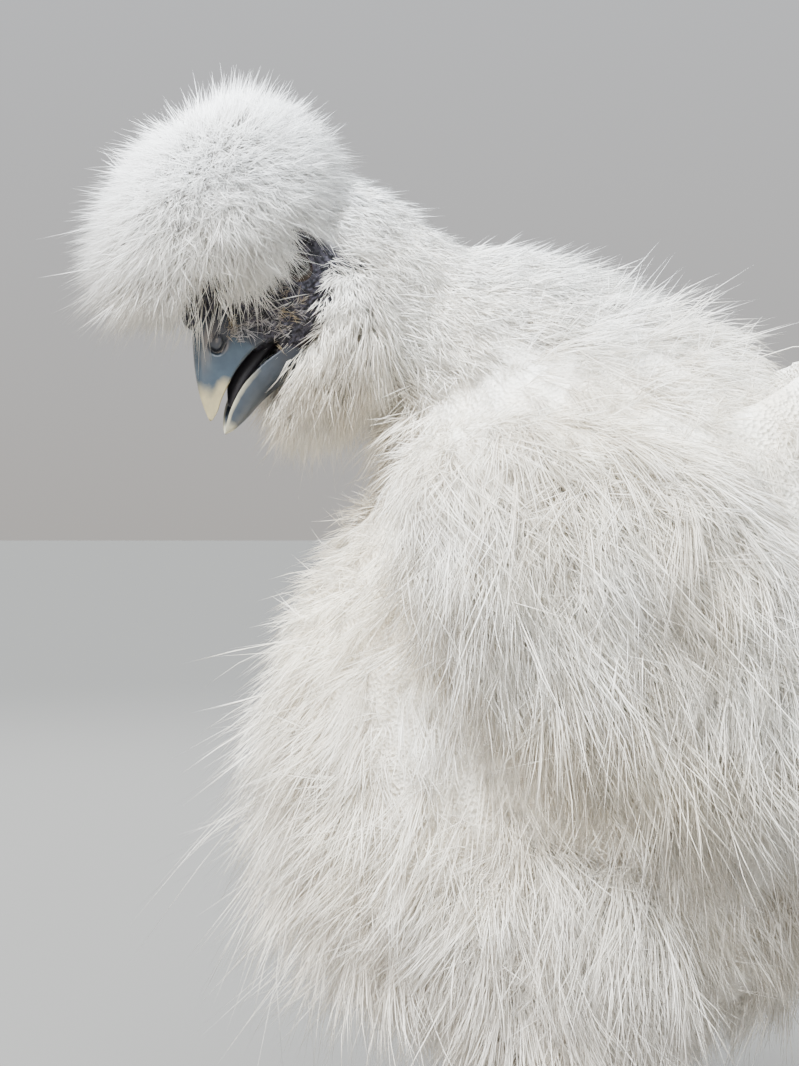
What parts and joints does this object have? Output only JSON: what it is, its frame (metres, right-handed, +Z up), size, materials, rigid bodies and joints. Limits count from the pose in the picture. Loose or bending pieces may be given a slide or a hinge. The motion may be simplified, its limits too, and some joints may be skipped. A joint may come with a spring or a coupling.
{
  "type": "silkie chicken",
  "caption": "Standing silkie chicken with head tucked down, puffed crest, beard and muffs, hair-like white plumage and feathered dark feet.",
  "frame": {"origin": "on the ground under the middle of the bird's bounding box", "axes": "+Z up, the bird faces -Y, +X is the bird's left side"},
  "size_m": [0.1636, 0.2108, 0.2626],
  "materials": {
    "plumage": "matte",
    "face_skin": "matte",
    "beak": "satin",
    "eye": "gloss",
    "leg_skin": "matte",
    "claw": "satin"
  },
  "bodies": {
    "root": {"beak_lower": "beak", "beak_upper": "beak", "beard": "plumage", "claw_left_fifth": "claw", "claw_left_hind": "claw", "claw_left_inner": "claw", "claw_left_middle": "claw", "claw_left_outer": "claw", "claw_right_fifth": "claw", "claw_right_hind": "claw", "claw_right_inner": "claw", "claw_right_middle": "claw", "claw_right_outer": "claw", "comb": "face_skin", "crest": "plumage", "earlobe_left": "face_skin", "earlobe_right": "face_skin", "eye_left": "eye", "eye_right": "eye", "feathering_left": "plumage", "feathering_right": "plumage", "foot_left": "leg_skin", "foot_right": "leg_skin", "head": "face_skin", "muff_left": "plumage", "muff_right": "plumage", "neck": "plumage", "shank_left": "leg_skin", "shank_right": "leg_skin", "tail": "plumage", "thigh_left": "plumage", "thigh_right": "plumage", "tongue": "face_skin", "torso": "plumage", "wing_left": "plumage", "wing_right": "plumage"}
  },
  "joints": []
}
